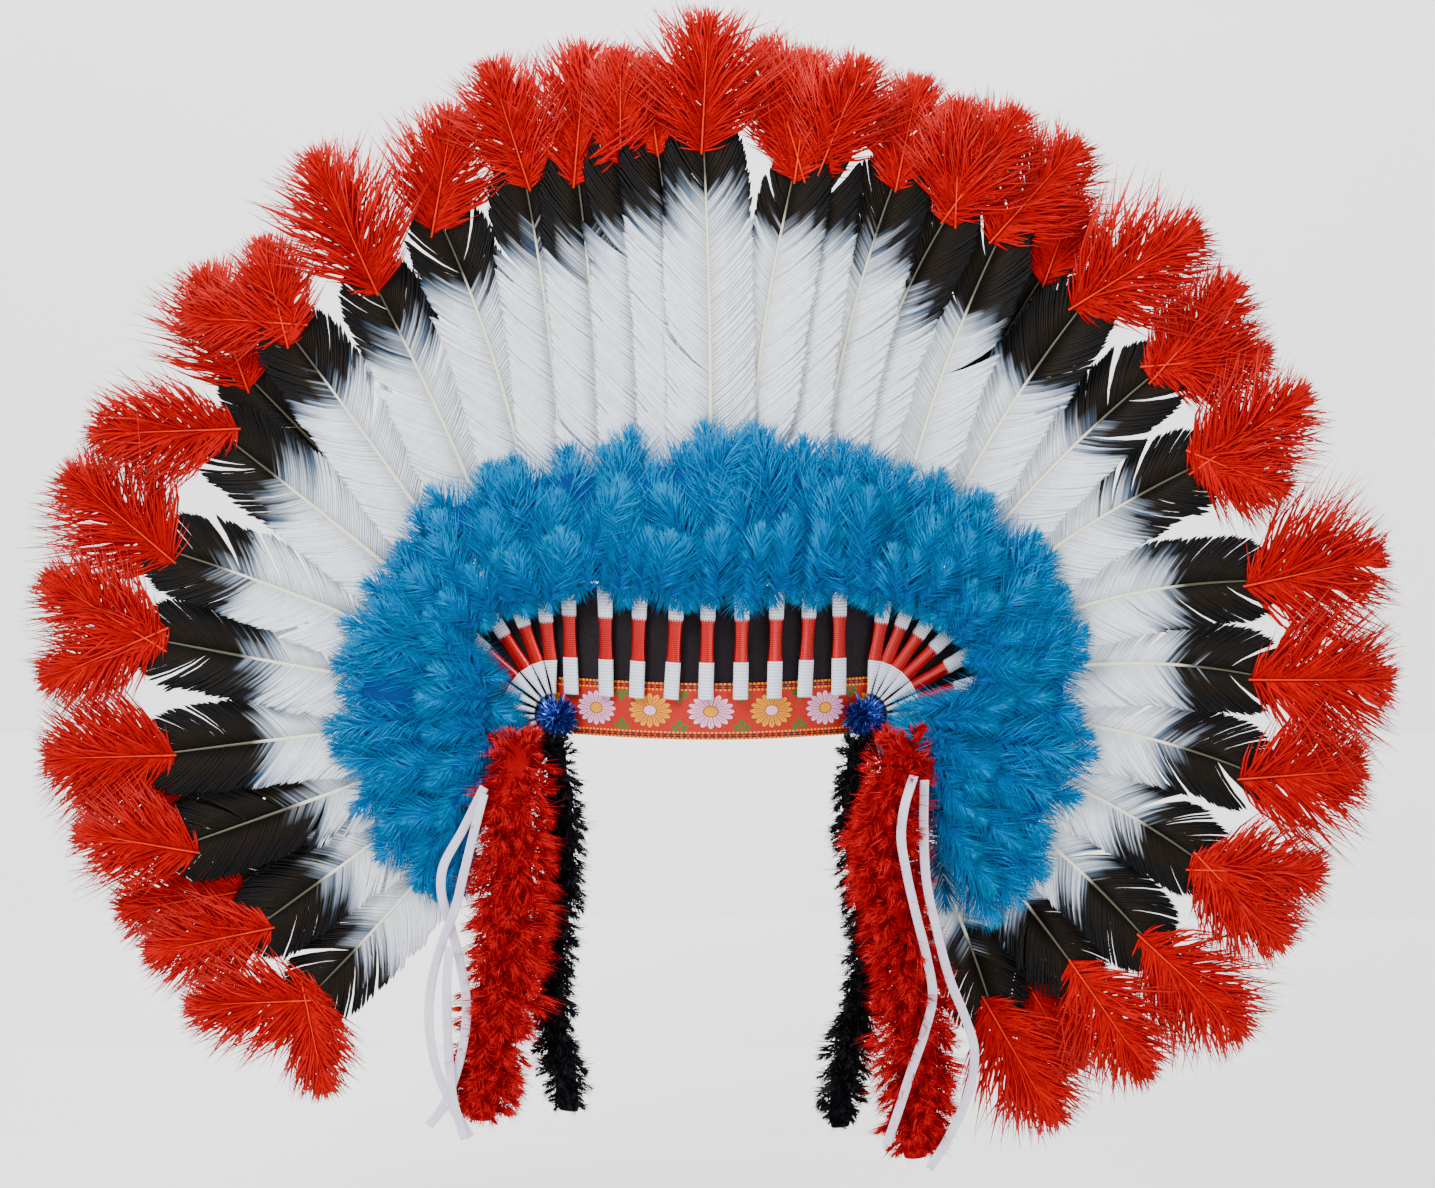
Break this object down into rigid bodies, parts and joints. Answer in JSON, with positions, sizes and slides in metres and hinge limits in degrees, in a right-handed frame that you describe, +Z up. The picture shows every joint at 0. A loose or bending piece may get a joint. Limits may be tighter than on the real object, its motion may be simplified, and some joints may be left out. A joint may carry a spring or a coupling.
{
  "type": "feathered headdress",
  "caption": "War-bonnet style headdress: felt band with woven brow ribbon, bound quill feathers with red tip plumes in a fan, blue down ring, rosettes, hanging down boas and satin ties.",
  "frame": {"origin": "centre of the wearer's head at the height of the brow ribbon's lower edge", "axes": "+X to the viewer's right across the fan, -Y out of the brow towards the viewer, +Z up"},
  "size_m": [0.735, 0.1184, 0.6222],
  "materials": {
    "felt": "matt black felt",
    "ribbon": "woven jacquard ribbon with a flower pattern",
    "rosette": "glossy blue tinsel",
    "feather": "white feather with a black end, bound in white cloth and red thread, with a red plume",
    "back_feather": "dark feather with a red plume",
    "blue_down": "fluffy blue down",
    "red_down": "fluffy red down",
    "black_down": "fluffy black down",
    "tie": "pale satin ribbon"
  },
  "bodies": {
    "root": {"felt_base": "felt", "brow_ribbon": "ribbon", "rosette_left": "rosette", "rosette_right": "rosette", "feather_01": "feather", "feather_02": "feather", "feather_03": "feather", "feather_04": "feather", "feather_05": "feather", "feather_06": "feather", "feather_07": "feather", "feather_08": "feather", "feather_09": "feather", "feather_10": "feather", "feather_11": "feather", "feather_12": "feather", "feather_13": "feather", "feather_14": "feather", "feather_15": "feather", "feather_16": "feather", "feather_17": "feather", "feather_18": "feather", "feather_19": "feather", "feather_20": "feather", "feather_21": "feather", "feather_22": "feather", "feather_23": "feather", "feather_24": "feather", "feather_25": "feather", "feather_26": "feather", "feather_27": "feather", "feather_28": "feather", "feather_29": "feather", "feather_30": "feather", "back_feather_1": "back_feather", "back_feather_2": "back_feather", "back_feather_3": "back_feather", "back_feather_4": "back_feather", "back_feather_5": "back_feather", "blue_ring_left": "blue_down", "blue_ring_crown": "blue_down", "blue_ring_right": "blue_down", "red_boa_left": "red_down", "red_boa_right": "red_down", "black_boa_left": "black_down", "black_boa_right": "black_down", "tie_left_1": "tie", "tie_left_2": "tie", "tie_left_3": "tie", "tie_right_1": "tie", "tie_right_2": "tie"}
  },
  "joints": []
}
